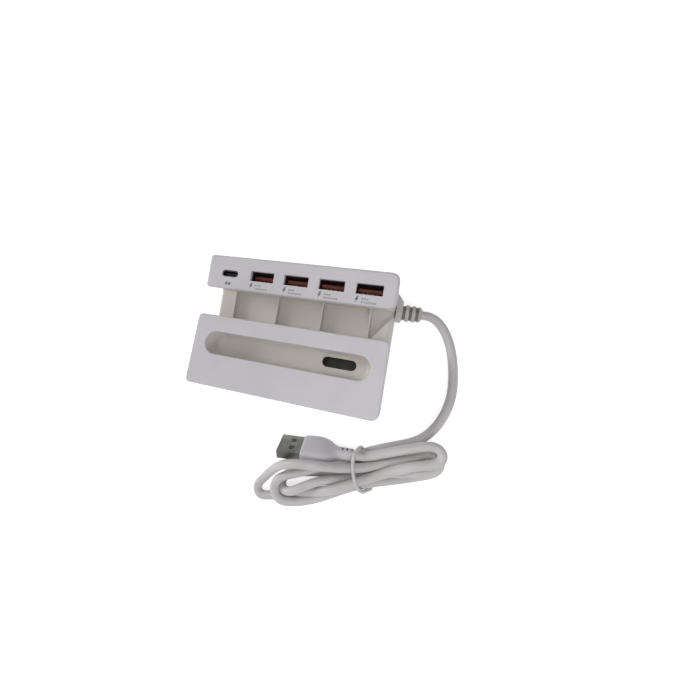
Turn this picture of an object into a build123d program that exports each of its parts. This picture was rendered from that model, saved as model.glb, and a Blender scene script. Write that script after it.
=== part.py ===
from build123d import *
import math
import os

# A low desktop charger: a port head at the rear, a phone slot, and a front plate with a trough.
# Millimetres. +X is the cord side, -Y the front, +Z up. The feet stand on z = 0.

# Body
width = 98.0
front_height = 24.0
head_tilt = 8.0
plate_tilt = 4.0
head_length = 17.6
plate_length = 35.9
plate_rise = 1.3
wall = 2.0
head_wall = 2.0
rear_corner_left = 2.2
rear_corner_right = 4.0
front_corner_left = 2.4
front_corner_right = 3.8
head_corner_left = 1.8
head_corner_right = 4.0
plate_corner = 2.5
head_round = 1.4
plate_round = 0.8

# Phone slot, whose rear wall leans back under the head
slot_width = 14.3
slot_depth = 17.0
slot_rake = 2.2
slot_round = 1.5
slot_floor = 1.5
pocket_depth = 3.6
pocket_edge = 0.8
pocket_rear = 0.2
pocket_left = 9.8
pocket_right = 12.3
rib = 1.0
web_top_side = 0.8
web_foot_side = 10.4
web_rise = 12.4

# Trough in the plate
trough_side = 6.9
trough_width = 11.5
trough_back = 8.2
trough_depth = 13.0
trough_draft = 3.0
trough_wall = 1.7
trough_floor = 1.8
trough_fillet = 3.0
trough_lip = 0.5
hole_length = 17.4
hole_width = 5.2
hole_back = 0.7
hole_side = 23.2

# Sockets
port_row = 8.1
port_side = 13.0
a_count = 4
a_width = 12.5
a_height = 5.1
a_shell = 0.35
a_tongue_width = 11.1
a_tongue_height = 1.95
a_tongue_drop = 0.1
a_tongue_back = 2.2
a_base = 4.0
a_contact_width = 1.1
a_contact_pitch = 2.3
a_contact_thick = 0.15
a_contact_length = 6.4
c_width = 8.94
c_height = 3.16
c_shell = 0.3
c_sink = 0.5
c_tongue_width = 6.7
c_tongue_height = 0.7
c_tongue_back = 1.2
c_base = 4.0
c_contact_width = 0.25
c_contact_pitch = 0.5
c_contact_count = 12
c_contact_thick = 0.05
c_contact_length = 4.0
port_gap = 0.18
seat = 0.1

# Circuit board and what it carries underneath
board_depth = 16.0
board_thick = 1.6
board_left_side = 7.5
board_right_side = 5.6
board_gap = 0.5
chip_size = 5.0
chip_thick = 0.9
chip_side = 40.0
coil_size = 7.0
coil_thick = 3.2
coil_round = 1.2
coil_side = 40.0
can_diameter = 6.3
can_height = 5.4
can_side = 25.0
can_spread = 4.0

# Base cover, feet and screws
foot_diameter = 9.0
foot_thick = 1.8
foot_stand = 1.0
foot_side_front = 18.0
foot_side_rear = 10.0
foot_inset = 8.0
cover_thick = 2.2
lip_height = 2.0
lip_thick = 1.4
lip_gap = 0.15
seam = 0.3
post_diameter = 2.6
post_side = 17.0
post_v = 1.5
boss_diameter = 5.2
boss_side_front = 8.0
boss_front = 7.0
boss_side_rear = 5.6
boss_rear = 4.7
pilot_depth = 9.0
pad_diameter = 6.4
pad_height = 1.4
screw_diameter = 2.2
screw_length = 8.0
screw_head = 4.4
screw_head_height = 1.6
screw_gap = 0.1
head_gap = 0.3

# Strain relief and cord
cord_diameter = 4.4
neck_width = 5.0
neck_height = 6.0
neck_gap = 0.1
neck_back = 2.6
relief_v = -2.8
flange_width = 5.8
flange_height = 6.2
flange_thick = 1.8
collar_gap = 0.02
collar_front = 4.3
collar_rear = 8.6
collar_slant = 4.2
collar_thick = 2.8
collar_tip = 3.1
collar_height = 8.8
boot_start = 8.6
boot_end = 8.0
boot_length = 9.38
boot_bevel = 1.2
boot_grooves = 3
groove_width = 1.5
groove_depth = 0.6

lead_straight = 3.0

# Route of the free lead, as steps right and back from the boot's end and heights above the desk
lead_points = [
    (6.3, -1.0, 6.0),
    (9.2, -3.1, 5.6),
    (11.9, -6.2, 5.0),
    (14.2, -10.2, 4.3),
    (16.1, -14.8, 3.5),
    (17.6, -20.0, 2.8),
    (18.6, -25.6, 2.4),
    (19.2, -31.4, 2.25),
    (19.1, -37.4, 2.2),
    (18.0, -43.4, 2.2),
    (16.0, -49.1, 2.2),
    (13.0, -54.5, 2.2),
    (8.6, -59.4, 2.2),
    (3.0, -62.9, 2.25),
    (-3.0, -65.3, 2.3),
]

# Hank and its tie, as steps right and back from the boot's end
hank_tip = (-62.0, -97.9)
hank_tip_radius = 8.2
hank_left = (-51.5, -93.3)
hank_left_radius = 9.5
hank_waist = (-17.0, -78.9)
hank_waist_radius = 10.4
hank_right = (11.3, -68.6)
hank_right_radius = 8.6
hank_height = 11.8
hank_round = 2.6
tie_diameter = 1.5
tie_corner = 3.0
tie_gap = 0.15
cord_gap = 0.15

# Plug of the cord
plug_step = (-21.4, -73.5)
plug_height = 8.2
plug_turn = 186.0
plug_roll = 55.0
plug_shell_width = 12.0
plug_shell_height = 4.5
plug_shell_length = 12.0
plug_shell_wall = 0.3
plug_shell_socket = 4.0
plug_tongue_height = 1.9
plug_hole = 2.2
plug_hole_x = 5.2
plug_hole_pitch = 5.0
mould_width = 14.6
mould_height = 7.4
mould_straight = 9.0
mould_taper = 9.0
mould_shoulder = 6.0
mould_end = 6.0
mould_flare = 0.3
mould_round = 1.8
plug_boot_length = 7.0
plug_gap = 0.3

# How far a cut runs past the face it opens
spare = 2.0

ht = math.radians(head_tilt)
pt = math.radians(plate_tilt)


def meet(p, d, q, e):
    """Where the line through p along d crosses the line through q along e."""
    det = d[0] * e[1] - d[1] * e[0]
    t = ((q[0] - p[0]) * e[1] - (q[1] - p[1]) * e[0]) / det
    return (p[0] + t * d[0], p[1] + t * d[1])


# Side profile, as (y, z): front edge F, slot edge of the plate G, slot edge of the head H, rear edge K
slot_dy = slot_width * math.cos(ht) + plate_rise * math.sin(ht)
slot_dz = slot_width * math.sin(ht) - plate_rise * math.cos(ht)
depth = plate_length * math.cos(pt) + slot_dy + head_length * math.cos(ht)
F = (-depth / 2, front_height)
G = (F[0] + plate_length * math.cos(pt), F[1] + plate_length * math.sin(pt))
H = (G[0] + slot_dy, G[1] + slot_dz)
K = (H[0] + head_length * math.cos(ht), H[1] + head_length * math.sin(ht))

head_x = Vector(1, 0, 0)
head_n = Vector(0, -math.sin(ht), math.cos(ht))
port_origin = (0, H[0] + port_row * math.cos(ht), H[1] + port_row * math.sin(ht))
head_plane = Plane(origin=port_origin, x_dir=head_x, z_dir=head_n)
plate_n = Vector(0, -math.sin(pt), math.cos(pt))
plate_plane = Plane(origin=(0, G[0], G[1]), x_dir=head_x, z_dir=plate_n)
v_low = -port_row
v_slot = v_low - slot_width
v_top = head_length - port_row


def head_yz(v, n):
    """A point of the side profile, v up the head's face from the ports and n out of it."""
    y = port_origin[1] + v * math.cos(ht) - n * math.sin(ht)
    z = port_origin[2] + v * math.sin(ht) + n * math.cos(ht)
    return (y, z)


def plate_yz(s, n):
    """A point of the side profile, s behind the plate's slot edge and n out of the plate."""
    y = G[0] + s * math.cos(pt) - n * math.sin(pt)
    z = G[1] + s * math.sin(pt) + n * math.cos(pt)
    return (y, z)


cover_bottom = foot_stand
cover_top = cover_bottom + cover_thick


def side_prism(points, half):
    return extrude(Plane.YZ * Polygon(*points, align=None), half, both=True)


def edges_along(shape, direction):
    return shape.edges().filter_by(Axis((0, 0, 0), direction))


def round_uprights(shape, y, left, right):
    """Rounds the two upright corners at y, with a radius for each side."""
    for side, radius in ((0, left), (-1, right)):
        upright = edges_along(shape, (0, 0, 1)).filter_by_position(Axis.Y, y - 0.1, y + 0.1)
        shape = fillet(upright.sort_by(Axis.X)[side], radius)
    return shape


def slot_wall(n):
    """How far up the head's face the slot's rear wall stands at the depth n."""
    return v_low - slot_rake * n / slot_depth


# Outer form of the housing: the side profile, cut by the slot, with rounded corners
outline = [(F[0], cover_top), F, G, H, K, (K[0], cover_top)]
body = side_prism(outline, width / 2)
slot_points = [
    head_yz(v_slot, slot_depth),
    head_yz(v_slot, -slot_depth),
    head_yz(slot_wall(-slot_depth), -slot_depth),
    head_yz(v_low, 0),
    head_yz(v_low, slot_depth),
]
slot_tool = side_prism(slot_points, width / 2 + spare)
slot_rear = edges_along(slot_tool, (1, 0, 0)).sort_by(Axis.Y)[-1]
slot_tool = fillet(slot_rear, slot_round)
body = body - slot_tool
body = round_uprights(body, F[0], front_corner_left, front_corner_right)
body = round_uprights(body, K[0], rear_corner_left, rear_corner_right)
rake_way = Vector(0, *head_yz(v_low, 0)) - Vector(0, *head_yz(slot_wall(-slot_depth), -slot_depth))
for side, radius in ((0, head_corner_left), (-1, head_corner_right)):
    slanted = edges_along(body, tuple(rake_way)).sort_by(Axis.X)
    body = fillet(slanted[side], radius)
slanted = edges_along(body, tuple(head_n)).filter_by_position(Axis.Y, F[0], plate_yz(1.5, 0)[0])
slanted = slanted.filter_by(lambda e: abs(abs(e.center().X) - width / 2) < 0.01)
body = fillet(slanted, plate_corner)
top_faces = body.faces().filter_by(lambda f: f.normal_at().dot(head_n) > 0.9999)
head_face = top_faces.sort_by(Axis.Z)[-1]
body = fillet(head_face.edges(), head_round)
plate_face = body.faces().filter_by(lambda f: f.normal_at().dot(plate_n) > 0.99999).sort_by(Axis.Y)[0]
body = fillet(plate_face.edges(), plate_round)

# Hollow inside, a wall away from the profile and from the slot
floor_n = -(slot_depth + pocket_depth + slot_floor)
plate_under = plate_yz(0, -wall)
plate_way = (math.cos(pt), math.sin(pt))
head_under = head_yz(0, -head_wall)
head_way = (math.cos(ht), math.sin(ht))
out_way = (-math.sin(ht), math.cos(ht))
hollow_points = [
    (F[0] + wall, cover_top - spare),
    meet((F[0] + wall, 0), (0, 1), plate_under, plate_way),
    meet(head_yz(v_slot - wall, 0), out_way, plate_under, plate_way),
    head_yz(v_slot - wall, floor_n),
    head_yz(slot_wall(floor_n) + wall, floor_n),
    head_yz(slot_wall(-head_wall) + wall, -head_wall),
    meet((K[0] - wall, 0), (0, 1), head_under, head_way),
    (K[0] - wall, cover_top - spare),
]
hollow = side_prism(hollow_points, width / 2 - wall)
hollow = round_uprights(hollow, F[0] + wall, front_corner_left - wall / 2, front_corner_right - wall / 2)
hollow = round_uprights(hollow, K[0] - wall, rear_corner_left - wall / 2, rear_corner_right - wall / 2)
housing = body - hollow

# Trough tub hanging under the plate, with its cable hole
trough_length = width - 2 * trough_side
trough_v = -(trough_back + trough_width / 2)
trough_seat = plate_plane * Pos(0, trough_v, 0)
tub_form = extrude(SlotOverall(trough_length, trough_width), -trough_depth, taper=trough_draft)
tub_bottom = tub_form.faces().sort_by(Axis.Z)[0]
tub_form = fillet(tub_bottom.edges(), trough_fillet)
tub_size = (trough_length + 2 * trough_wall, trough_width + 2 * trough_wall)
tub_shell = Pos(0, 0, -wall / 2) * extrude(SlotOverall(*tub_size), -(trough_depth + trough_floor - wall / 2))
housing = housing + trough_seat * tub_shell
housing = housing - trough_seat * tub_form
hole_x = width / 2 - hole_side
hole_tool = Pos(hole_x, hole_back, -trough_depth - trough_floor - spare) * extrude(
    SlotOverall(hole_length, hole_width), trough_floor + 2 * spare
)
housing = housing - trough_seat * hole_tool
plate_local = plate_plane.to_local_coords
rim = housing.edges().filter_by(lambda e: abs(plate_local(e.center()).Z) < 0.01)
rim = rim.filter_by(lambda e: abs(plate_local(e.center()).Y - trough_v) < trough_width / 2 + 0.01)
rim = rim.filter_by(lambda e: abs(e.center().X) < trough_length / 2 + 0.01)
housing = fillet(rim, trough_lip)

# Pockets between the ribs in the slot's floor, the last one cut short by the corner web
pocket_v0 = v_slot + pocket_edge
pocket_v1 = slot_wall(-slot_depth + spare) - pocket_rear
pocket_plane = head_plane.offset(-(slot_depth + pocket_depth))
pocket_start = pocket_left - width / 2
rib_pitch = (width - pocket_left - pocket_right) / 3
web_top = width / 2 - web_top_side
web_foot = width / 2 - web_foot_side
for k in range(3):
    x0 = pocket_start + k * rib_pitch + (rib / 2 if k else 0)
    x1 = pocket_start + (k + 1) * rib_pitch - rib / 2
    pocket = Polygon((x0, pocket_v0), (x1, pocket_v0), (x1, pocket_v1), (x0, pocket_v1), align=None)
    housing = housing - extrude(pocket_plane * pocket, pocket_depth + spare)
x0 = pocket_start + 3 * rib_pitch + rib / 2
web_points = [(x0, pocket_v0), (web_foot, pocket_v0), (web_top, pocket_v0 + web_rise), (web_top, pocket_v1), (x0, pocket_v1)]
web_pocket = Polygon(*web_points, align=None)
housing = housing - extrude(pocket_plane * web_pocket, pocket_depth + spare)

# Port openings in the head's face
port_pitch = (width - 2 * port_side) / a_count
c_x = port_side - width / 2
a_xs = [c_x + (k + 1) * port_pitch for k in range(a_count)]
for x in a_xs:
    port = head_plane * Pos(x, 0, 0) * Box(a_width, a_height, 3 * head_wall)
    housing = housing - port
c_open = SlotOverall(c_width + 2 * port_gap, c_height + 2 * port_gap)
housing = housing - head_plane * Pos(c_x, 0, -2 * head_wall) * extrude(c_open, 3 * head_wall)

# Screw bosses under the plate
boss_x_front = width / 2 - boss_side_front
boss_x_rear = width / 2 - boss_side_rear
boss_front_y = F[0] + boss_front
boss_rear_y = plate_yz(-boss_rear, 0)[0]
boss_spots = [
    (boss_x_front, boss_front_y),
    (-boss_x_front, boss_front_y),
    (boss_x_rear, boss_rear_y),
    (-boss_x_rear, boss_rear_y),
]
pad_top = cover_top + pad_height
for x, y in boss_spots:
    roof = plate_yz((y - G[0]) / math.cos(pt), -wall / 2)[1]
    boss = Pos(x, y, pad_top) * Cylinder(boss_diameter / 2, roof - pad_top, align=(Align.CENTER, Align.CENTER, Align.MIN))
    housing = housing + boss
pilot = screw_diameter + screw_gap
for x, y in boss_spots:
    bore = Pos(x, y, pad_top) * Cylinder(pilot / 2, pilot_depth, align=(Align.CENTER, Align.CENTER, Align.MIN))
    housing = housing - bore

# Notch in the right wall for the neck of the strain relief, and room behind the slot for its flange
relief_y = head_yz(relief_v, 0)[0]
relief_z = cover_top + neck_height / 2
neck_y = relief_y + neck_back
notch_size = (wall + spare, neck_width + 2 * neck_gap, neck_height + neck_gap + spare)
notch = Pos(width / 2 - wall, neck_y, cover_top - spare) * Box(
    *notch_size, align=(Align.MIN, Align.CENTER, Align.MIN)
)
housing = housing - notch
flange_room = Pos(width / 2 - wall, neck_y - neck_width / 2 - neck_gap, cover_top - spare) * Box(
    flange_thick + 3 * neck_gap,
    flange_width + 2 * neck_gap,
    flange_height + neck_gap + spare,
    align=(Align.MAX, Align.MIN, Align.MIN),
)
housing = housing - flange_room

# Span of the circuit board across the head, clear of the slot wall and of the rear wall
board_v0 = slot_wall(-board_depth - board_thick) + wall + board_gap
board_v1 = v_top - wall / math.cos(ht) - board_gap - (board_depth + board_thick) * math.tan(ht)
board_mid = (board_v0 + board_v1) / 2

# Base cover: the plan outline, a locating lip, posts for the board, pads for the screws
cover_plan = Pos(0, 0, 0) * Rectangle(width, depth)
cover = Pos(0, 0, cover_bottom) * extrude(cover_plan, cover_thick)
cover = round_uprights(cover, F[0], front_corner_left, front_corner_right)
cover = round_uprights(cover, K[0], rear_corner_left, rear_corner_right)
cover = chamfer(cover.edges().group_by(Axis.Z)[-1], seam)
lip_out = wall + lip_gap
lip_ring = RectangleRounded(width - 2 * lip_out, depth - 2 * lip_out, rear_corner_right - lip_gap)
lip_hole = Rectangle(width - 2 * lip_out - 2 * lip_thick, depth - 2 * lip_out - 2 * lip_thick)
lip = Pos(0, 0, cover_top) * extrude(lip_ring - lip_hole, lip_height)
slot_y0 = head_yz(v_slot - wall, floor_n)[0] - lip_gap - lip_height * math.tan(ht)
slot_y1 = head_yz(slot_wall(floor_n) + wall, floor_n)[0] + lip_gap
slot_zone = Pos(0, (slot_y0 + slot_y1) / 2, cover_top) * Box(
    width, slot_y1 - slot_y0, 4 * lip_height, align=(Align.CENTER, Align.CENTER, Align.MIN)
)
lip = lip - slot_zone
relief_zone = Pos(width / 2, neck_y, cover_top) * Box(
    8 * wall, 2 * (flange_width + lip_gap), 8 * lip_height, align=(Align.CENTER, Align.CENTER, Align.MIN)
)
lip = lip - relief_zone
for x, y in boss_spots:
    lip = lip - Pos(x, y, cover_top) * Cylinder(pad_diameter / 2, 8 * lip_height)
cover = cover + lip
for x, y in boss_spots:
    cover = cover + Pos(x, y, cover_top - cover_thick / 2) * Cylinder(
        pad_diameter / 2, pad_height + cover_thick / 2, align=(Align.CENTER, Align.CENTER, Align.MIN)
    )
board_under = head_plane.offset(-(board_depth + board_thick + seat))
above_board = board_under * Box(2 * width, 2 * depth, 4 * depth, align=(Align.CENTER, Align.CENTER, Align.MIN))
post_x = width / 2 - post_side
for x in (-post_x, post_x):
    for v in (-post_v, post_v):
        foot_yz = head_yz(board_mid + v, -(board_depth + board_thick))
        post = Pos(x, foot_yz[0], cover_top - cover_thick / 2) * Cylinder(
            post_diameter / 2, depth / 2, align=(Align.CENTER, Align.CENTER, Align.MIN)
        )
        cover = cover + (post - above_board)
for x, y in boss_spots:
    sunk = Pos(x, y, cover_bottom - spare) * Cylinder(
        (screw_head + head_gap) / 2, screw_head_height + spare + seat, align=(Align.CENTER, Align.CENTER, Align.MIN)
    )
    through = Pos(x, y, cover_bottom) * Cylinder(
        (screw_diameter + head_gap) / 2, 4 * cover_thick, align=(Align.CENTER, Align.CENTER, Align.MIN)
    )
    cover = cover - sunk - through
foot_x_front = width / 2 - foot_side_front
foot_x_rear = width / 2 - foot_side_rear
foot_spots = [
    (foot_x_front, F[0] + foot_inset),
    (-foot_x_front, F[0] + foot_inset),
    (foot_x_rear, K[0] - foot_inset),
    (-foot_x_rear, K[0] - foot_inset),
]
for x, y in foot_spots:
    recess = Pos(x, y, cover_bottom - spare) * Cylinder(
        foot_diameter / 2 + head_gap / 2, foot_thick - foot_stand + spare, align=(Align.CENTER, Align.CENTER, Align.MIN)
    )
    cover = cover - recess

feet = []
for x, y in foot_spots:
    foot = Pos(x, y, 0) * Cylinder(foot_diameter / 2, foot_thick, align=(Align.CENTER, Align.CENTER, Align.MIN))
    foot = chamfer(foot.edges().group_by(Axis.Z)[0], foot_stand / 3)
    feet.append(foot)

screws = []
for x, y in boss_spots:
    screw = Pos(x, y, cover_bottom) * Cylinder(
        screw_head / 2, screw_head_height, align=(Align.CENTER, Align.CENTER, Align.MIN)
    )
    shank = Pos(x, y, cover_bottom) * Cylinder(
        screw_diameter / 2, screw_head_height + screw_length, align=(Align.CENTER, Align.CENTER, Align.MIN)
    )
    screws.append(screw + shank)

# Circuit board under the sockets
board_left = board_left_side - width / 2
board_right = width / 2 - board_right_side
board = head_plane * Pos((board_left + board_right) / 2, board_mid, -board_depth - board_thick) * Box(
    board_right - board_left, board_v1 - board_v0, board_thick, align=(Align.CENTER, Align.CENTER, Align.MIN)
)

# USB-A sockets: shell, tongue with its base, contacts
a_front = -(head_wall + seat)
a_long = board_depth + a_front
a_outer = Rectangle(a_width + 2 * a_shell, a_height + 2 * a_shell)
a_ring = a_outer - Rectangle(a_width, a_height)
a_shell_form = extrude(a_ring, a_long)
a_base_form = Box(
    a_width - seat, a_height - seat, a_base, align=(Align.CENTER, Align.CENTER, Align.MIN)
)
a_tongue_len = a_long - a_base - a_tongue_back
a_tongue_form = Pos(0, -a_tongue_drop, a_base) * Box(
    a_tongue_width, a_tongue_height, a_tongue_len, align=(Align.CENTER, Align.CENTER, Align.MIN)
)
a_tip = a_tongue_form.faces().sort_by(Axis.Z)[-1]
a_tongue_form = chamfer(a_tip.edges().filter_by(Axis.X), a_tongue_height / 5)
a_insert_form = a_base_form + a_tongue_form
a_contact_forms = []
for k in range(4):
    x = (k - 1.5) * a_contact_pitch
    y = -a_tongue_drop - a_tongue_height / 2
    contact = Pos(x, y, a_base) * Box(
        a_contact_width, a_contact_thick, a_contact_length, align=(Align.CENTER, Align.MAX, Align.MIN)
    )
    a_contact_forms.append(contact)

# USB-C socket: shell, tongue with its base, contacts on both faces
c_long = board_depth - c_sink
c_ring = SlotOverall(c_width, c_height) - SlotOverall(c_width - 2 * c_shell, c_height - 2 * c_shell)
c_shell_form = extrude(c_ring, c_long)
c_bore = SlotOverall(c_width - 2 * c_shell - seat, c_height - 2 * c_shell - seat)
c_tongue_len = c_long - c_base - c_tongue_back
c_tongue_form = Pos(0, 0, c_base) * Box(
    c_tongue_width, c_tongue_height, c_tongue_len, align=(Align.CENTER, Align.CENTER, Align.MIN)
)
c_insert_form = extrude(c_bore, c_base) + c_tongue_form
c_contact_forms = []
for k in range(c_contact_count):
    x = (k - (c_contact_count - 1) / 2) * c_contact_pitch
    for side, hold in ((1, Align.MIN), (-1, Align.MAX)):
        contact = Pos(x, side * c_tongue_height / 2, c_base) * Box(
            c_contact_width, c_contact_thick, c_contact_length, align=(Align.CENTER, hold, Align.MIN)
        )
        c_contact_forms.append(contact)

# Parts under the board
under = head_plane.offset(-(board_depth + board_thick))
chip = under * Pos(width / 2 - chip_side, board_mid, 0) * Box(
    chip_size, chip_size, chip_thick, align=(Align.CENTER, Align.CENTER, Align.MAX)
)
coil = Pos(coil_side - width / 2, board_mid, 0) * Box(
    coil_size, coil_size, coil_thick, align=(Align.CENTER, Align.CENTER, Align.MAX)
)
coil = under * fillet(coil.edges().filter_by(Axis.Z), coil_round)
cans = []
for side in (-1, 1):
    can = under * Pos(width / 2 - can_side + side * can_spread - can_spread, board_mid, 0) * Cylinder(
        can_diameter / 2, can_height, align=(Align.CENTER, Align.CENTER, Align.MAX)
    )
    cans.append(can)

# Strain relief: inner flange, neck through the wall, slanted collar and a grooved boot
side = width / 2
neck = Pos(side - wall, neck_y, relief_z) * Box(
    wall, neck_width, neck_height, align=(Align.MIN, Align.CENTER, Align.CENTER)
)
flange = Pos(side - wall - neck_gap, neck_y - neck_width / 2, cover_top) * Box(
    flange_thick, flange_width, flange_height, align=(Align.MAX, Align.MIN, Align.MIN)
)
bridge = Pos(side - wall - neck_gap, neck_y, relief_z) * Box(
    neck_gap, neck_width, neck_height, align=(Align.MIN, Align.CENTER, Align.CENTER)
)
cx0 = side + collar_gap
collar_plan = Polygon(
    (cx0, relief_y - collar_front),
    (cx0 + collar_thick, relief_y - collar_front),
    (cx0 + collar_tip, relief_y + collar_rear - collar_slant),
    (cx0, relief_y + collar_rear),
    align=None,
)
collar = extrude(Pos(0, 0, relief_z - collar_height / 2) * collar_plan, collar_height)
collar = fillet(collar.edges().filter_by(Axis.Z).sort_by(Axis.X)[-2:], 0.6)
stub = Pos(side, neck_y, relief_z) * Box(
    collar_gap, neck_width, neck_height, align=(Align.MIN, Align.CENTER, Align.CENTER)
)
boot_x0 = cx0 + collar_thick - 0.4
boot_x1 = cx0 + collar_tip + boot_length
rib_step = boot_length / boot_grooves
boot_profile = [(boot_x0, 0), (boot_x0, boot_start / 2)]
for k in range(boot_grooves):
    gx = cx0 + collar_tip + k * rib_step
    share = (gx - boot_x0) / (boot_x1 - boot_x0)
    r = boot_start / 2 + share * (boot_end - boot_start) / 2
    boot_profile += [(gx, r), (gx, r - groove_depth), (gx + groove_width, r - groove_depth), (gx + groove_width, r)]
boot_profile += [(boot_x1 - boot_bevel, boot_end / 2), (boot_x1, boot_end / 2 - boot_bevel), (boot_x1, 0)]
boot = revolve(Plane.XY * Polygon(*boot_profile, align=None), Axis.X)
boot = Pos(0, relief_y, relief_z) * boot
strain_relief = flange + bridge + neck + stub + collar + boot

# Free lead of the cord
lead_start = (boot_x1, relief_y, relief_z)
lead_route = [Vector(*lead_start), Vector(boot_x1 + lead_straight, relief_y, relief_z)]
lead_route += [Vector(boot_x1 + dx, relief_y + dy, z) for dx, dy, z in lead_points]


def bend_radii(route):
    """Each corner's arc, as large as its two runs allow."""
    radii = []
    for a, b, c in zip(route, route[1:], route[2:]):
        turn = math.radians((b - a).get_angle(c - b))
        run = min((b - a).length, (c - b).length)
        radii.append(0.45 * run / math.tan(turn / 2))
    return radii


lead_radii = bend_radii(lead_route)
print("lead radii", [round(r, 1) for r in lead_radii])
lead_path = FilletPolyline(*lead_route, radius=lead_radii)
lead_face = Plane(origin=lead_route[0], z_dir=lead_route[1] - lead_route[0]) * Circle(cord_diameter / 2)
lead = sweep(lead_face, path=lead_path)
lead_volume = math.pi * cord_diameter**2 / 4 * lead_path.length
print("lead length", round(lead_path.length, 1), "volume", round(lead.volume, 1), "of", round(lead_volume, 1))

# Plug: everything is made along local +X from the cord end, then rolled and laid in place
plug_end = (boot_x1 + plug_step[0], relief_y + plug_step[1], plug_height)
plug_place = Pos(*plug_end) * Rot(0, 0, plug_turn) * Rot(plug_roll, 0, 0)
mould_x1 = plug_boot_length + mould_taper + mould_straight
wide_profile = [
    (0, mould_end / 2),
    (plug_boot_length, mould_end / 2 + mould_flare),
    (plug_boot_length + mould_taper, mould_width / 2),
    (mould_x1, mould_width / 2),
    (mould_x1, -mould_width / 2),
    (plug_boot_length + mould_taper, -mould_width / 2),
    (plug_boot_length, -mould_end / 2 - mould_flare),
    (0, -mould_end / 2),
]
tall_profile = [
    (0, mould_end / 2),
    (plug_boot_length, mould_end / 2 + mould_flare),
    (plug_boot_length + mould_taper, mould_height / 2),
    (mould_x1, mould_height / 2),
    (mould_x1, -mould_height / 2),
    (plug_boot_length + mould_taper, -mould_height / 2),
    (plug_boot_length, -mould_end / 2 - mould_flare),
    (0, -mould_end / 2),
]
wide_form = extrude(Plane.XY * Polygon(*wide_profile, align=None), mould_width, both=True)
wide_form = fillet(edges_along(wide_form, (0, 0, 1)).sort_by(Axis.X)[2:6], mould_shoulder)
tall_form = extrude(Plane.XZ * Polygon(*tall_profile, align=None), mould_width, both=True)
mould = wide_form & tall_form
long_edges = mould.edges().filter_by(lambda e: e.length > mould_end / 2 and 0.5 < e.center().X < mould_x1 - 0.5)
long_edges = long_edges.filter_by(lambda e: abs(e.tangent_at(0.5).X) > 0.5)
mould = fillet(long_edges, mould_round)
socket = Pos(mould_x1, 0, 0) * Box(
    plug_shell_socket, plug_shell_width, plug_shell_height, align=(Align.MAX, Align.CENTER, Align.CENTER)
)
mould = mould - socket
tube_face = Plane.YZ * (
    Rectangle(plug_shell_width, plug_shell_height)
    - Rectangle(plug_shell_width - 2 * plug_shell_wall, plug_shell_height - 2 * plug_shell_wall)
)
plug_shell = Pos(mould_x1 - plug_shell_socket, 0, 0) * extrude(tube_face, plug_shell_socket + plug_shell_length)
for y in (-plug_hole_pitch / 2, plug_hole_pitch / 2):
    plug_shell = plug_shell - Pos(mould_x1 + plug_hole_x, y, 0) * Box(plug_hole, plug_hole, 2 * plug_shell_height)
bore_width = plug_shell_width - 2 * plug_shell_wall
bore_height = plug_shell_height - 2 * plug_shell_wall
plug_tongue = Pos(mould_x1 - plug_shell_socket, 0, -bore_height / 2) * Box(
    plug_shell_socket + plug_shell_length - 0.5,
    bore_width,
    plug_tongue_height,
    align=(Align.MIN, Align.CENTER, Align.MIN),
)
plug_contacts = []
for k in range(4):
    y = (k - 1.5) * a_contact_pitch
    contact = Pos(mould_x1 + plug_shell_length - 1.5, y, -bore_height / 2 + plug_tongue_height) * Box(
        a_contact_length, a_contact_width, a_contact_thick, align=(Align.MAX, Align.CENTER, Align.MIN)
    )
    plug_contacts.append(contact)

# Hank: a waisted bundle, notched for the tie, the plug and the end of the lead
tip_ring = (Pos(*hank_tip) * Circle(hank_tip_radius)).edges()
left_ring = (Pos(*hank_left) * Circle(hank_left_radius)).edges()
waist_ring = (Pos(*hank_waist) * Circle(hank_waist_radius)).edges()
right_ring = (Pos(*hank_right) * Circle(hank_right_radius)).edges()
bundle_left = make_hull(tip_ring + left_ring + waist_ring)
bundle_right = make_hull(waist_ring + right_ring)
hank = extrude(Pos(boot_x1, relief_y) * (bundle_left + bundle_right), hank_height)
hank_top = hank.faces().sort_by(Axis.Z)[-1]
hank = fillet(hank_top.edges(), hank_round)
hank_way = Vector(hank_right[0] - hank_left[0], hank_right[1] - hank_left[1], 0).normalized()
tie_plane = Plane(
    origin=(boot_x1 + hank_waist[0], relief_y + hank_waist[1], hank_height / 2),
    x_dir=(-hank_way.Y, hank_way.X, 0),
    z_dir=hank_way,
)
tie_outer_w = 2 * hank_waist_radius
tie_inner_w = tie_outer_w - 2 * tie_diameter
tie_inner_h = hank_height - 2 * tie_diameter
tie_outer = RectangleRounded(tie_outer_w, hank_height, tie_corner + tie_diameter)
tie_inner = RectangleRounded(tie_inner_w, tie_inner_h, tie_corner)
tie = extrude(tie_plane * (tie_outer - tie_inner), tie_diameter / 2, both=True)
notch_inner = RectangleRounded(tie_inner_w - 2 * tie_gap, tie_inner_h - 2 * tie_gap, tie_corner - tie_gap)
notch_ring = Rectangle(4 * hank_waist_radius, 4 * hank_height) - notch_inner
tie_notch = extrude(tie_plane * notch_ring, tie_diameter / 2 + tie_gap, both=True)
hank = hank - tie_notch
plug_body = Box(
    mould_straight + mould_taper + plug_shell_length + spare,
    mould_width + 2 * plug_gap,
    mould_height + 2 * plug_gap,
    align=(Align.MIN, Align.CENTER, Align.CENTER),
)
plug_boot = Box(
    plug_boot_length + spare / 2,
    mould_end + 2 * mould_flare + 2 * plug_gap,
    mould_end + 2 * mould_flare + 2 * plug_gap,
    align=(Align.MIN, Align.CENTER, Align.CENTER),
)
hank = hank - plug_place * Pos(plug_boot_length, 0, 0) * plug_body
hank = hank - plug_place * plug_boot
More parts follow.
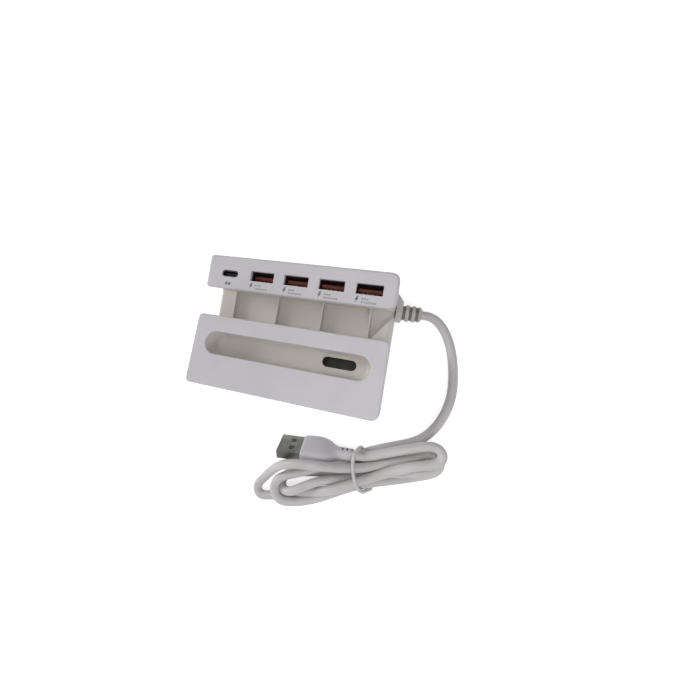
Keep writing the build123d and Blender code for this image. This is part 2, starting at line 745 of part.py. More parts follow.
lead_room = sweep(
    Plane(origin=lead_route[0], z_dir=lead_route[1] - lead_route[0]) * Circle(cord_diameter / 2 + cord_gap),
    path=lead_path,
)
hank = hank - lead_room

os.makedirs("parts", exist_ok=True)
export_step(housing, "parts/top_housing.step")
export_step(cover, "parts/base_cover.step")
for k, foot in enumerate(feet):
    export_step(foot, f"parts/rubber_foot_{k + 1}.step")
export_step(Compound(children=screws), "parts/cover_screws.step")
export_step(board, "parts/circuit_board.step")
export_step(chip, "parts/controller_chip.step")
export_step(coil, "parts/power_inductor.step")
export_step(Compound(children=cans), "parts/filter_capacitors.step")
for k, x in enumerate(a_xs):
    place = head_plane * Pos(x, 0, -board_depth)
    export_step(place * a_shell_form, f"parts/usb_a_shell_{k + 1}.step")
    export_step(place * a_insert_form, f"parts/usb_a_tongue_{k + 1}.step")
    export_step(Compound(children=[place * c for c in a_contact_forms]), f"parts/usb_a_contacts_{k + 1}.step")
place = head_plane * Pos(c_x, 0, -board_depth)
export_step(place * c_shell_form, "parts/usb_c_shell.step")
export_step(place * c_insert_form, "parts/usb_c_tongue.step")
export_step(Compound(children=[place * c for c in c_contact_forms]), "parts/usb_c_contacts.step")
export_step(strain_relief, "parts/strain_relief.step")
export_step(lead, "parts/cord_lead.step")
export_step(hank, "parts/cord_hank.step")
export_step(tie, "parts/cord_tie.step")
export_step(plug_place * mould, "parts/plug_overmould.step")
export_step(plug_place * plug_shell, "parts/plug_shell.step")
export_step(plug_place * plug_tongue, "parts/plug_tongue.step")
export_step(Compound(children=[plug_place * c for c in plug_contacts]), "parts/plug_contacts.step")
print("body", round(width, 2), "x", round(depth, 2), "x", round(K[1], 2))
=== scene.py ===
# %% [markdown]
# A desktop charger with five sockets, a phone slot, a trough for small things and a tied lead.
# The measured model comes in as named pieces, in metres, standing on z = 0 with the lead on +X.
# Its box is kept now, so that the finished model can be compared with it at the end.

import math

import bmesh
import bpy
from mathutils import Matrix, Vector


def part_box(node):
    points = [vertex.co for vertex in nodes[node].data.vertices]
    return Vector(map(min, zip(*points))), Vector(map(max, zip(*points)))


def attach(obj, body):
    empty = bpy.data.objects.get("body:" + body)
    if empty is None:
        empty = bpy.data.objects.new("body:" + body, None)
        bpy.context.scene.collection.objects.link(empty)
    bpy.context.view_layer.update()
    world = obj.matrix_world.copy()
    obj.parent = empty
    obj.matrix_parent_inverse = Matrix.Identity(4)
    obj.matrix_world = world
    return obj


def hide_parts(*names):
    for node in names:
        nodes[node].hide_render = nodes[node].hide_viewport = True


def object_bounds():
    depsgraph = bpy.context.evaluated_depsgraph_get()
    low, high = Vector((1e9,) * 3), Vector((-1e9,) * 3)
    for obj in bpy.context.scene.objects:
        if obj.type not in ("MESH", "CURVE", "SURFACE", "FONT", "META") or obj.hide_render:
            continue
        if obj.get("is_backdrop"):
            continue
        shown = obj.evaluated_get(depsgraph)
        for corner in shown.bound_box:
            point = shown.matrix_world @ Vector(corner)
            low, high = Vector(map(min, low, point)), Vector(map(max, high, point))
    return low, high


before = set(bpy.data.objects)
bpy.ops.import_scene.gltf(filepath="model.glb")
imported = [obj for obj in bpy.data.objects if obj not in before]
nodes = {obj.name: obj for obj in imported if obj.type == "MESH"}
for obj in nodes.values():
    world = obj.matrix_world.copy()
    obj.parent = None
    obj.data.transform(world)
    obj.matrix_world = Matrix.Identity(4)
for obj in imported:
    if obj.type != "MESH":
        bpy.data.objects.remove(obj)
cad_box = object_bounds()
print("pieces in the measured model:", len(nodes))

# %% [markdown]
# The picture was taken from above the front edge with a wide lens held close, so the plate looks
# larger than the port head. A camera can be aimed by hand with a tracking target, but here its place
# and its three axes are known, so they are written into its matrix. The lens is shifted a little,
# because the charger wasn't in the middle of the frame.

# %% Camera
MM = 0.001
eye = Vector((50.59, -26.48, 175.38)) * MM
right = Vector((0.9548, 0.1967, -0.2229))
down = Vector((0.1501, -0.9662, -0.2096))
ahead = Vector((-0.2565, 0.1667, -0.9521))
lens_data = bpy.data.cameras.new("camera")
lens_data.sensor_width = 36.0
lens_data.lens = 17.47
lens_data.shift_x = 0.0482
lens_data.shift_y = -0.0088
lens_data.clip_start = 0.01
camera = bpy.data.objects.new("camera", lens_data)
bpy.context.scene.collection.objects.link(camera)
turn = Matrix((right, -down, -ahead)).transposed()
camera.matrix_world = Matrix.Translation(eye) @ turn.to_4x4()
bpy.context.scene.camera = camera
print("camera stands", round(eye.z, 3), "m above the desk")

# %% [markdown]
# The lead is one length of round vinyl cable. It leaves the boot on the right, drops to the desk,
# sweeps round to the front and is folded into a loose hank: three folds on the left, three on the
# right, seven strands through the tie. It could be simulated as a rope, but the photograph shows where
# each strand lies, so its points are listed. Those of the hank are given along the hank, across
# it and above the desk, in millimetres from the tie.

# %% Route of the cord
lead_points = [
    (61.5, 21.61, 6.2), (64.5, 21.61, 6.2), (67.8, 20.61, 6.0), (70.7, 18.51, 5.6), (73.4, 15.41, 5.0),
    (75.7, 11.41, 4.3), (77.6, 6.81, 3.5), (79.1, 1.61, 2.8), (80.1, -3.99, 2.4), (80.7, -9.79, 2.25),
    (80.6, -15.79, 2.2), (79.5, -21.79, 2.2), (77.5, -27.49, 2.2), (74.5, -32.89, 2.2), (70.1, -37.79, 2.2),
    (64.5, -41.29, 2.25), (58.5, -43.69, 2.3),
]
big_left_fold = [
    (8.5, 7.2, 2.3), (4.2, 6.8, 3.2), (0.9, 6.1, 3.9), (-2.8, 4.9, 2.5), (-8, 4.7, 2.3), (-12.5, 4.3, 3.4),
    (-19, 3.2, 5.9), (-29, 2.4, 7.1), (-38.4, 1.9, 7.3), (-42.8, -0.1, 7.4), (-44.6, -4.4, 7.4),
    (-42.8, -8.7, 7.0),
    (-38.0, -10.9, 5.4), (-30, -11.7, 2.9), (-21, -10.9, 2.3), (-10, -8.4, 2.9), (0, -7.1, 3.9),
]
low_right_fold = [
    (7, -7.1, 3.2), (15, -7.3, 2.4), (24, -7.2, 2.3), (31.5, -6.8, 2.3), (35.2, -5.2, 2.3), (36.7, -1.6, 2.3),
    (35.2, 2.1, 2.3), (31.5, 3.7, 2.3), (24, 3.5, 2.3), (16, 2.6, 2.4), (8, 2.0, 3.2), (0, 1.4, 3.9),
]
inner_left_fold = [
    (-8, -0.1, 2.3), (-16, -0.2, 2.2), (-24, 0.9, 2.2), (-31, 1.9, 2.2), (-36.6, 2.2, 2.3), (-40.2, 0.7, 2.7),
    (-41.4, -2.4, 3.6), (-39.8, -5.1, 6.0), (-36.0, -5.9, 7.7), (-29, -4.2, 8.4), (-22, -2.9, 7.0),
    (-15, -3.3, 5.4),
    (-8, -4.0, 4.4), (0, -2.8, 3.9),
]
middle_right_fold = [
    (8, -2.8, 4.3), (15, -4.1, 5.4), (23, -4.6, 6.4), (30.2, -4.7, 6.7), (33.6, -3.8, 6.7), (35.0, -1.0, 6.7),
    (33.6, 1.9, 6.7), (30.2, 2.5, 6.7), (25, 1.7, 6.7), (19, 1.0, 6.7), (12, 0.8, 7.1), (6, 0.8, 7.9),
    (0, 0.6, 8.3),
]
tip_fold = [
    (-7, 2.0, 11.2), (-14, 4.0, 15.2), (-21, 6.0, 17.4), (-28, 7.5, 17.3), (-34, 8.0, 15.2),
    (-39.6, 6.9, 10.8),
    (-45, 4.7, 6.4), (-49.3, 2.2, 3.4), (-52.9, 0.0, 2.4), (-54.9, -2.0, 2.2), (-54.9, -4.8, 2.2),
    (-52.9, -6.8, 2.2),
    (-49.0, -7.2, 2.2), (-43.5, -7.8, 2.2), (-36.5, -7.3, 2.25), (-29, -7.4, 4.0), (-22, -7.8, 6.2),
    (-15, -7.3, 7.8),
    (-8, -5.8, 8.2), (0, -4.6, 8.2),
]
top_right_fold = [
    (8, -3.3, 8.8), (15, -2.0, 10.2), (23, -1.1, 11.0), (32.2, -1.7, 11.1), (35.9, -0.7, 11.1),
    (37.4, 2.2, 11.1),
    (35.9, 5.1, 11.0), (32.2, 6.4, 10.9), (25, 6.3, 10.3), (17, 6.0, 9.4), (10, 5.6, 8.8), (5.5, 5.3, 8.4),
    (1.7, 5.6, 8.2), (-3.1, 6.85, 8.2),
]
tie_place = Vector((44.5, -57.29, 0))
hank_turn = math.radians(20.9)
along = Vector((math.cos(hank_turn), math.sin(hank_turn), 0))
across = Vector((-along.y, along.x, 0))


def hank_point(a, b, z):
    return (tie_place + along * a + across * b + Vector((0, 0, z))) * MM


route = [Vector(p) * MM for p in lead_points]
for fold in (big_left_fold, low_right_fold, inner_left_fold, middle_right_fold, tip_fold, top_right_fold):
    route += [hank_point(*p) for p in fold]
print("control points of the cord:", len(route))

# %% [markdown]
# A spline with these control points is the cord's middle line, and a round bevel gives it its skin.
# The order is set after the points are there, because a spline with no points can't take it.
# A second spline without a bevel is made a mesh, whose edges are walked, and both are removed again.

# %% Cord
cord_diameter = 4.4 * MM


def smooth_line(name, points, radius):
    curve = bpy.data.curves.new(name, "CURVE")
    curve.dimensions = "3D"
    curve.bevel_depth = radius
    curve.bevel_resolution = 6
    curve.resolution_u = 8
    curve.use_fill_caps = radius > 0
    strand = curve.splines.new("NURBS")
    strand.points.add(len(points) - 1)
    for point, place in zip(strand.points, points):
        point.co = (*place, 1)
    strand.order_u = 3
    strand.use_endpoint_u = True
    return bpy.data.objects.new(name, curve)


cord = smooth_line("cord", route, cord_diameter / 2)
bpy.context.scene.collection.objects.link(cord)
bare = smooth_line("bare", route, 0)
bare_mesh = bpy.data.meshes.new_from_object(bare)
for edge in bare_mesh.edges:
    start, end = (bare_mesh.vertices[i].co for i in edge.vertices)
bpy.data.objects.remove(bare)
bpy.data.meshes.remove(bare_mesh)

# %% [markdown]
# Every finish here is moulded, plated or printed, so they share three habits of real surfaces: the
# colour drifts a little over centimetres, the gloss drifts over millimetres, and a fine grain catches
# the light. Painted textures would do it too, but noise on Object coordinates needs no unwrapping
# and keeps its scale in millimetres on every piece.

# %% Helpers for the finishes
def fresh_finish(name, colour, rough, metal=0.0):
    mat = bpy.data.materials.new(name)
    mat.use_nodes = True
    shader = mat.node_tree.nodes["Principled BSDF"]
    shader.inputs["Base Color"].default_value = (*colour, 1)
    shader.inputs["Roughness"].default_value = rough
    shader.inputs["Metallic"].default_value = metal
    return mat, mat.node_tree, shader


def object_place(tree):
    return tree.nodes.new("ShaderNodeTexCoord").outputs["Object"]


def noise_of(tree, size_mm, detail=2.0, stretch=(1, 1, 1)):
    """Noise whose patches are about size_mm across, longer along an axis with a small stretch value."""
    mapping = tree.nodes.new("ShaderNodeMapping")
    mapping.inputs["Scale"].default_value = stretch
    tree.links.new(object_place(tree), mapping.inputs["Vector"])
    noise = tree.nodes.new("ShaderNodeTexNoise")
    noise.inputs["Scale"].default_value = 1000.0 / size_mm
    noise.inputs["Detail"].default_value = detail
    tree.links.new(mapping.outputs["Vector"], noise.inputs["Vector"])
    return noise.outputs["Fac"]


def mixed(tree, share, first, second):
    """A colour between two, each a colour or the output of a node."""
    mix = tree.nodes.new("ShaderNodeMix")
    mix.data_type = "RGBA"
    tree.links.new(share, mix.inputs["Factor"])
    for socket, value in ((mix.inputs["A"], first), (mix.inputs["B"], second)):
        if isinstance(value, tuple):
            socket.default_value = (*value, 1)
        else:
            tree.links.new(value, socket)
    return mix.outputs["Result"]


def fitted(tree, value, low, high, out_low=0.0, out_high=1.0):
    """The value brought from one range to another, softly and within its ends."""
    fit = tree.nodes.new("ShaderNodeMapRange")
    fit.interpolation_type = "SMOOTHSTEP"
    tree.links.new(value, fit.inputs["Value"])
    for name, number in zip(("From Min", "From Max", "To Min", "To Max"), (low, high, out_low, out_high)):
        fit.inputs[name].default_value = number
    return fit.outputs["Result"]


def sum_of(tree, kind, first, second=None):
    """One step of arithmetic on numbers or the outputs of nodes."""
    step = tree.nodes.new("ShaderNodeMath")
    step.operation = kind
    for socket, value in zip(step.inputs, (first, second)):
        if value is None:
            continue
        if isinstance(value, (int, float)):
            socket.default_value = value
        else:
            tree.links.new(value, socket)
    return step.outputs["Value"]


def grain(tree, shader, size_mm, height_mm, strength, stretch=(1, 1, 1)):
    bump = tree.nodes.new("ShaderNodeBump")
    bump.inputs["Strength"].default_value = strength
    bump.inputs["Distance"].default_value = height_mm * MM
    tree.links.new(noise_of(tree, size_mm, 3.0, stretch), bump.inputs["Height"])
    tree.links.new(bump.outputs["Normal"], shader.inputs["Normal"])


def drift(tree, shader, first, second, size_mm, low, high, gloss_mm):
    """Colour that drifts between two tones, and gloss that drifts between two levels."""
    tone = mixed(tree, fitted(tree, noise_of(tree, size_mm), 0.35, 0.65), first, second)
    tree.links.new(tone, shader.inputs["Base Color"])
    gloss = fitted(tree, noise_of(tree, gloss_mm), 0.3, 0.7, low, high)
    tree.links.new(gloss, shader.inputs["Roughness"])
    return tone


print("helpers ready")

# %% [markdown]
# The housing is injection moulded in white plastic with a satin, lightly eroded skin. Inside the slot and
# the trough a painted warm bounce light is laid into the colour: the tone warms with the depth below
# the faces, as light bounced in the hollows would. That depth is worked out from Object coordinates: the faces
# rise evenly to the rear.

# %% Housing plastic
housing_look, tree, shader = fresh_finish("housing_plastic_look", (0.68, 0.665, 0.685), 0.42)
tone = drift(tree, shader, (0.665, 0.65, 0.672), (0.70, 0.685, 0.705), 26, 0.34, 0.42, 3)
grain(tree, shader, 0.35, 0.02, 0.22)
parts = tree.nodes.new("ShaderNodeSeparateXYZ")
tree.links.new(object_place(tree), parts.inputs["Vector"])
# Painted light: the warm tone of light bounced in the slot and the trough, painted in by depth below the faces.
face_slope, face_height = 0.0838, 26.83 * MM
tint_from, tint_full = 1.2 * MM, 8.0 * MM
face = sum_of(tree, "ADD", sum_of(tree, "MULTIPLY", parts.outputs["Y"], face_slope), face_height)
deep = fitted(tree, sum_of(tree, "SUBTRACT", face, parts.outputs["Z"]), tint_from, tint_full)
painted_bounce_light = deep
for axis, half in (("X", 48.4 * MM), ("Y", 33.2 * MM)):
    within = sum_of(tree, "LESS_THAN", sum_of(tree, "ABSOLUTE", parts.outputs[axis]), half)
    painted_bounce_light = sum_of(tree, "MULTIPLY", painted_bounce_light, within)
tree.links.new(mixed(tree, painted_bounce_light, tone, (0.73, 0.695, 0.65)), shader.inputs["Base Color"])
print("housing finish made")

# %% [markdown]
# The base cover is the same plastic outside. Through the cable hole only a dark inside shows, so the
# cover's inner face is painted near black as painted shade. The mask is the inner part of its top, by Object
# coordinates.

# %% Cover plastic
cover_look, tree, shader = fresh_finish("cover_plastic_look", (0.66, 0.645, 0.66), 0.5)
tone = drift(tree, shader, (0.64, 0.625, 0.64), (0.68, 0.665, 0.68), 20, 0.45, 0.58, 3)
grain(tree, shader, 0.4, 0.03, 0.3)
parts = tree.nodes.new("ShaderNodeSeparateXYZ")
tree.links.new(object_place(tree), parts.inputs["Vector"])
inner_face = 3.1 * MM
painted_shade_inside = sum_of(tree, "GREATER_THAN", parts.outputs["Z"], inner_face)
for axis, half in (("X", 47.2 * MM), ("Y", 32.1 * MM)):
    within = sum_of(tree, "LESS_THAN", sum_of(tree, "ABSOLUTE", parts.outputs[axis]), half)
    painted_shade_inside = sum_of(tree, "MULTIPLY", painted_shade_inside, within)
# Painted shade: the inner face of the cover's top is painted near black.
tree.links.new(mixed(tree, painted_shade_inside, tone, (0.11, 0.113, 0.104)), shader.inputs["Base Color"])
print("cover finish made")

# %% [markdown]
# Cord, boot, tie and plug are soft white vinyl, duller and a little greyer than the housing. The boot's
# grooves lie nearer to the boot's axis than its ribs do, so the distance from that axis paints shade into
# them. All four get the same colour drift and grain.

# %% Vinyl finishes
def vinyl_finish(name, first, second, low, high):
    mat, tree, shader = fresh_finish(name, first, low)
    tone = drift(tree, shader, first, second, 14, low, high, 2)
    grain(tree, shader, 0.5, 0.03, 0.25)
    return mat, tree, shader, tone


cord_look = vinyl_finish("cord_vinyl_look", (0.60, 0.585, 0.575), (0.66, 0.645, 0.64), 0.4, 0.52)[0]
tie_look = vinyl_finish("tie_vinyl_look", (0.62, 0.605, 0.60), (0.68, 0.665, 0.66), 0.32, 0.42)[0]
plug_look, tree, shader, tone = vinyl_finish(
    "plug_vinyl_look", (0.63, 0.615, 0.63), (0.68, 0.665, 0.685), 0.36, 0.46
)
# Painted shade: the marked slot points of the grip are painted near black.
painted_slot_shade = tree.nodes.new("ShaderNodeAttribute")
painted_slot_shade.attribute_name = "painted_slot_shade"
tree.links.new(mixed(tree, painted_slot_shade.outputs["Fac"], tone, (0.10, 0.095, 0.09)), shader.inputs["Base Color"])
relief_look, tree, shader, tone = vinyl_finish(
    "relief_vinyl_look", (0.53, 0.515, 0.49), (0.60, 0.585, 0.565), 0.42, 0.54
)
parts = tree.nodes.new("ShaderNodeSeparateXYZ")
tree.links.new(object_place(tree), parts.inputs["Vector"])
boot_y, boot_z = 21.61 * MM, 6.2 * MM
boot_from, boot_to = 51.5 * MM, 60.2 * MM
groove_radius, rib_radius = 3.65 * MM, 4.05 * MM
off_y = sum_of(tree, "SUBTRACT", parts.outputs["Y"], boot_y)
off_z = sum_of(tree, "SUBTRACT", parts.outputs["Z"], boot_z)
squares = [sum_of(tree, "MULTIPLY", off, off) for off in (off_y, off_z)]
radius = sum_of(tree, "SQRT", sum_of(tree, "ADD", *squares))
# Painted shade: the vinyl in the boot's grooves, nearer the axis than the ribs, is painted dark.
painted_groove_shade = fitted(tree, radius, groove_radius, rib_radius, 1.0, 0.0)
for kind, end in (("GREATER_THAN", boot_from), ("LESS_THAN", boot_to)):
    painted_groove_shade = sum_of(tree, "MULTIPLY", painted_groove_shade, sum_of(tree, kind, parts.outputs["X"], end))
tree.links.new(mixed(tree, painted_groove_shade, tone, (0.20, 0.185, 0.165)), shader.inputs["Base Color"])
print("vinyl finishes made")

# %% [markdown]
# The sockets and the plug have nickel-plated steel shells, gold-flashed contacts and moulded tongues, orange
# in the wide sockets and black in the narrow one. Plating shows fine draw lines along the shell, so its
# noise is stretched along one axis.

# %% Metal and tongue finishes
steel_look, tree, shader = fresh_finish("socket_steel_look", (0.32, 0.325, 0.305), 0.36, 1.0)
drift(tree, shader, (0.28, 0.285, 0.265), (0.36, 0.365, 0.345), 5, 0.3, 0.46, 1)
grain(tree, shader, 0.25, 0.01, 0.3, (0.15, 1, 1))
brass_look, tree, shader = fresh_finish("contact_brass_look", (0.72, 0.52, 0.24), 0.3, 1.0)
drift(tree, shader, (0.66, 0.46, 0.2), (0.76, 0.57, 0.28), 2, 0.24, 0.4, 0.6)
orange_look, tree, shader = fresh_finish("tongue_orange_look", (0.24, 0.07, 0.05), 0.45)
drift(tree, shader, (0.19, 0.045, 0.034), (0.26, 0.075, 0.05), 4, 0.4, 0.55, 1)
shader.inputs["Specular IOR Level"].default_value = 0.25
grain(tree, shader, 0.3, 0.02, 0.3)
black_look, tree, shader = fresh_finish("tongue_black_look", (0.02, 0.02, 0.02), 0.42)
drift(tree, shader, (0.015, 0.015, 0.016), (0.03, 0.03, 0.03), 4, 0.36, 0.5, 1)
insulator_look, tree, shader = fresh_finish("plug_insulator_look", (0.62, 0.61, 0.60), 0.5)
drift(tree, shader, (0.58, 0.57, 0.56), (0.66, 0.65, 0.64), 4, 0.44, 0.56, 1)
grain(tree, shader, 0.3, 0.02, 0.3)
screw_look, tree, shader = fresh_finish("screw_steel_look", (0.4, 0.4, 0.41), 0.35, 1.0)
drift(tree, shader, (0.34, 0.34, 0.35), (0.46, 0.46, 0.47), 2, 0.28, 0.45, 0.6)
grain(tree, shader, 0.2, 0.01, 0.3)
print("metal finishes made")

# %% [markdown]
# Hidden under the head lie a circuit board with a controller, a coil and two cans. Nobody sees them unless the
# housing is taken off, but then they should look right: green mask with fine copper runs under it, black
# moulding, grey ferrite and brushed aluminium. The feet are matt black rubber.

# %% Board and foot finishes
board_look, tree, shader = fresh_finish("board_laminate_look", (0.03, 0.16, 0.07), 0.35)
runs = tree.nodes.new("ShaderNodeTexBrick")
runs.inputs["Scale"].default_value = 260.0
runs.inputs["Color1"].default_value = (0.025, 0.14, 0.06, 1)
runs.inputs["Color2"].default_value = (0.03, 0.17, 0.075, 1)
runs.inputs["Mortar"].default_value = (0.06, 0.26, 0.12, 1)
runs.inputs["Mortar Size"].default_value = 0.03
tree.links.new(object_place(tree), runs.inputs["Vector"])
tree.links.new(runs.outputs["Color"], shader.inputs["Base Color"])
tree.links.new(fitted(tree, noise_of(tree, 3), 0.3, 0.7, 0.3, 0.42), shader.inputs["Roughness"])
chip_look, tree, shader = fresh_finish("chip_plastic_look", (0.025, 0.025, 0.026), 0.55)
drift(tree, shader, (0.02, 0.02, 0.021), (0.035, 0.035, 0.036), 3, 0.5, 0.62, 0.5)
grain(tree, shader, 0.15, 0.02, 0.4)
ferrite_look, tree, shader = fresh_finish("inductor_ferrite_look", (0.13, 0.13, 0.14), 0.6)
drift(tree, shader, (0.10, 0.10, 0.11), (0.16, 0.16, 0.17), 2, 0.55, 0.7, 0.5)
grain(tree, shader, 0.2, 0.04, 0.5)
can_look, tree, shader = fresh_finish("capacitor_can_look", (0.62, 0.62, 0.64), 0.35, 1.0)
drift(tree, shader, (0.56, 0.56, 0.58), (0.68, 0.68, 0.7), 3, 0.3, 0.45, 0.6)
rubber_look, tree, shader = fresh_finish("foot_rubber_look", (0.03, 0.03, 0.03), 0.8)
drift(tree, shader, (0.022, 0.022, 0.022), (0.045, 0.045, 0.044), 3, 0.72, 0.88, 0.6)
grain(tree, shader, 0.25, 0.05, 0.5)
ink_look, tree, shader = fresh_finish("print_ink_look", (0.16, 0.158, 0.16), 0.6)
drift(tree, shader, (0.13, 0.128, 0.13), (0.22, 0.217, 0.22), 0.6, 0.55, 0.7, 0.4)
pale_ink_look, tree, shader = fresh_finish("pale_print_ink_look", (0.36, 0.355, 0.36), 0.6)
drift(tree, shader, (0.32, 0.315, 0.32), (0.42, 0.415, 0.42), 0.6, 0.55, 0.7, 0.4)
print("board and foot finishes made")

# %% [markdown]
# Each measured piece now gets its finish by its name. The slots of the pieces are filled on the objects,
# and the meshes stay as they came.

# %% Dress the measured pieces
look_of = {
    "top_housing": housing_look, "base_cover": cover_look, "circuit_board": board_look,
    "controller_chip": chip_look, "power_inductor": ferrite_look, "filter_capacitors": can_look,
    "cover_screws": screw_look,
    "strain_relief": relief_look, "cord_lead": cord_look, "cord_hank": cord_look, "cord_tie": tie_look,
    "plug_overmould": plug_look, "plug_shell": steel_look, "plug_tongue": insulator_look,
    "plug_contacts": brass_look, "usb_c_shell": steel_look, "usb_c_tongue": black_look,
    "usb_c_contacts": brass_look,
}
for k in range(1, 5):
    look_of[f"rubber_foot_{k}"] = rubber_look
    look_of[f"usb_a_shell_{k}"] = steel_look
    look_of[f"usb_a_tongue_{k}"] = orange_look
    look_of[f"usb_a_contacts_{k}"] = brass_look
for name, node in nodes.items():
    for place in node.material_slots:
        place.material = look_of[name]
cord.data.materials.append(cord_look)
print("dressed", len(look_of), "measured pieces")

# %% [markdown]
# The plug's grip is a soft moulding: a flat pad with round shoulders that narrows to a boot with three slots.
# Boxes with bevels would leave flat facets on the shoulders, so it is a loft: rings of one rounded
# section, each with its own half width and half height, joined from the boot to the steel shell. The rings
# then turn inward, to leave room for the shell.

# %% Rings of the plug grip
plug_end = Vector((40.1, -51.89, 8.2)) * MM
plug_turn, plug_roll = math.radians(186), math.radians(55)
plug_place = Matrix.Translation(plug_end)
plug_place = plug_place @ Matrix.Rotation(plug_turn, 4, "Z") @ Matrix.Rotation(plug_roll, 4, "X")
grip_rings = [
    (1.6, 0.5, 0.5, 2.0, 0), (1.6, 2.25, 2.25, 2.0, 0), (0.0, 2.25, 2.25, 2.0, 0),
    (0.0, 2.7, 2.7, 2.0, 0), (0.25, 2.95, 2.95, 2.0, 0),
]
for k in range(3):
    near, far = 0.45 + 2.2 * k, 1.25 + 2.2 * k
    for at, cut in ((near - 0.05, 0), (near, 1), (far, 1), (far + 0.05, 0)):
        size = 3.0 + 0.03 * at
        grip_rings.append((at, size, size, 2.0, cut))
grip_rings += [
    (7.4, 3.3, 3.25, 2.0, 0), (8.4, 3.75, 3.32, 2.1, 0), (9.4, 4.5, 3.4, 2.2, 0), (10.4, 5.35, 3.5, 2.4, 0),
    (11.5, 6.1, 3.7, 2.6, 0), (12.7, 6.7, 3.9, 3.0, 0), (14.0, 7.1, 4.05, 3.4, 0), (15.5, 7.3, 4.15, 3.7, 0),
    (17.5, 7.4, 4.2, 4.0, 0), (20.5, 7.4, 4.2, 4.0, 0), (23.2, 7.34, 4.1, 4.0, 0), (24.3, 7.2, 3.95, 4.0, 0),
    (24.8, 7.0, 3.75, 4.0, 0), (25.0, 6.7, 3.45, 4.0, 0), (25.0, 6.06, 2.32, 9.0, 0), (21.0, 6.06, 2.32, 9.0, 0),
    (21.0, 0.5, 0.5, 9.0, 0),
]
print("rings of the grip:", len(grip_rings))

# %% [markdown]
# The rings are now walked round and joined into a skin. Where a ring is cut and the angle is on the upper
# side of the boot, the point is drawn inward, so each slot is a real notch in the mesh, and marked, so that
# painted shade darkens the notch.

# %% Skin of the plug grip
sides = 56
slot_share = 0.72
grip_form = bmesh.new()
painted_slot_shade_layer = grip_form.verts.layers.float.new("painted_slot_shade")
rings = []
for at, half_w, half_h, power, cut in grip_rings:
    ring = []
    for k in range(sides):
        angle = 2 * math.pi * k / sides
        c, s = math.cos(angle), math.sin(angle)
        y = half_w * math.copysign(abs(c) ** (2 / power), c)
        z = half_h * math.copysign(abs(s) ** (2 / power), s)
        slot = cut and s > 0.6 and c < 0.22
        if slot:
            y, z = y * slot_share, z * slot_share
        vert = grip_form.verts.new(plug_place @ (Vector((at, y, z)) * MM))
        vert[painted_slot_shade_layer] = 1.0 if slot else 0.0
        ring.append(vert)
    rings.append(ring)
for first, second in zip(rings, rings[1:]):
    for k in range(sides):
        grip_form.faces.new((first[k], first[(k + 1) % sides], second[(k + 1) % sides], second[k]))
grip_form.faces.new(rings[0])
grip_form.faces.new(rings[-1])
bmesh.ops.recalc_face_normals(grip_form, faces=grip_form.faces)
for face in grip_form.faces:
    face.smooth = True
grip_mesh = bpy.data.meshes.new("plug_grip")
grip_form.to_mesh(grip_mesh)
grip_form.free()
grip_mesh.set_sharp_from_angle(angle=math.radians(38))
plug_grip = bpy.data.objects.new("plug_grip", grip_mesh)
bpy.context.scene.collection.objects.link(plug_grip)
grip_mesh.materials.append(plug_look)
print("plug grip has", len(grip_mesh.polygons), "faces")

# %% [markdown]
# The tie is a round vinyl band that passes under the seven strands, closes over them and ends in a short stub.
# It leans to the left at its top. A torus would be too regular, so it is another spline with a round
# bevel, laid close to the strands, and made a mesh.

# %% Tie
tie_points = [
    (3.4, -8.9, 2.4), (1.9, -8.7, 1.1), (1.4, -4.5, 0.85), (1.5, 1.0, 0.85), (1.7, 6.2, 0.85), (1.8, 8.6, 1.0),
    (1.9, 9.6, 4.2), (0.9, 9.6, 8.6), (-1.2, 8.1, 12.6), (-2.8, 4.2, 13.1), (-3.5, 0.0, 13.0), (-3.6, -4.2, 12.1),
    (-3.1, -8.3, 9.4), (-1.7, -10.5, 5.6), (0.2, -10.5, 2.6), (2.6, -10.2, 1.4),
]
tie_line = smooth_line("tie_line", [hank_point(*p) for p in tie_points], 0.85 * MM)
tie_mesh = bpy.data.meshes.new_from_object(tie_line)
bpy.data.objects.remove(tie_line)
tie_loop = bpy.data.objects.new("tie_loop", tie_mesh)
bpy.context.scene.collection.objects.link(tie_loop)
tie_mesh.materials.clear()
tie_mesh.materials.append(tie_look)
tie_mesh.shade_smooth()
print("tie has", len(tie_mesh.polygons), "faces")

# %% [markdown]
# Two kinds of piece repeat here, the print under the sockets and the cover's screws, so Geometry Nodes
# make them. A tree gets named inputs for its sizes, and the modifier's values are set by each socket's
# identifier. The result is then made a plain mesh, because instances wouldn't leave Blender.

# %% Helpers for node trees
def new_tree(name, sizes):
    """A geometry tree with a geometry input and output, and a named input for each size."""
    tree = bpy.data.node_groups.new(name, "GeometryNodeTree")
    tree.interface.new_socket(name="Geometry", in_out="INPUT", socket_type="NodeSocketGeometry")
    for label, value in sizes.items():
        kind = "NodeSocketInt" if isinstance(value, int) else "NodeSocketFloat"
        tree.interface.new_socket(name=label, in_out="INPUT", socket_type=kind)
    tree.interface.new_socket(name="Geometry", in_out="OUTPUT", socket_type="NodeSocketGeometry")
    return tree, tree.nodes.new("NodeGroupInput").outputs, tree.nodes.new("NodeGroupOutput").inputs


def tree_node(tree, kind, settings=None, **inputs):
    """A node with its settings, and its inputs given as numbers, vectors or the outputs of nodes."""
    node = tree.nodes.new(kind)
    for key, value in (settings or {}).items():
        setattr(node, key, value)
    for key, value in inputs.items():
        socket = node.inputs[key.replace("_", " ")]
        for each in value if isinstance(value, list) else [value]:
            if isinstance(each, bpy.types.NodeSocket):
                tree.links.new(each, socket)
            else:
                socket.default_value = each
    return node.outputs[0]


def vector_of(tree, x=0.0, y=0.0, z=0.0):
    return tree_node(tree, "ShaderNodeCombineXYZ", X=x, Y=y, Z=z)


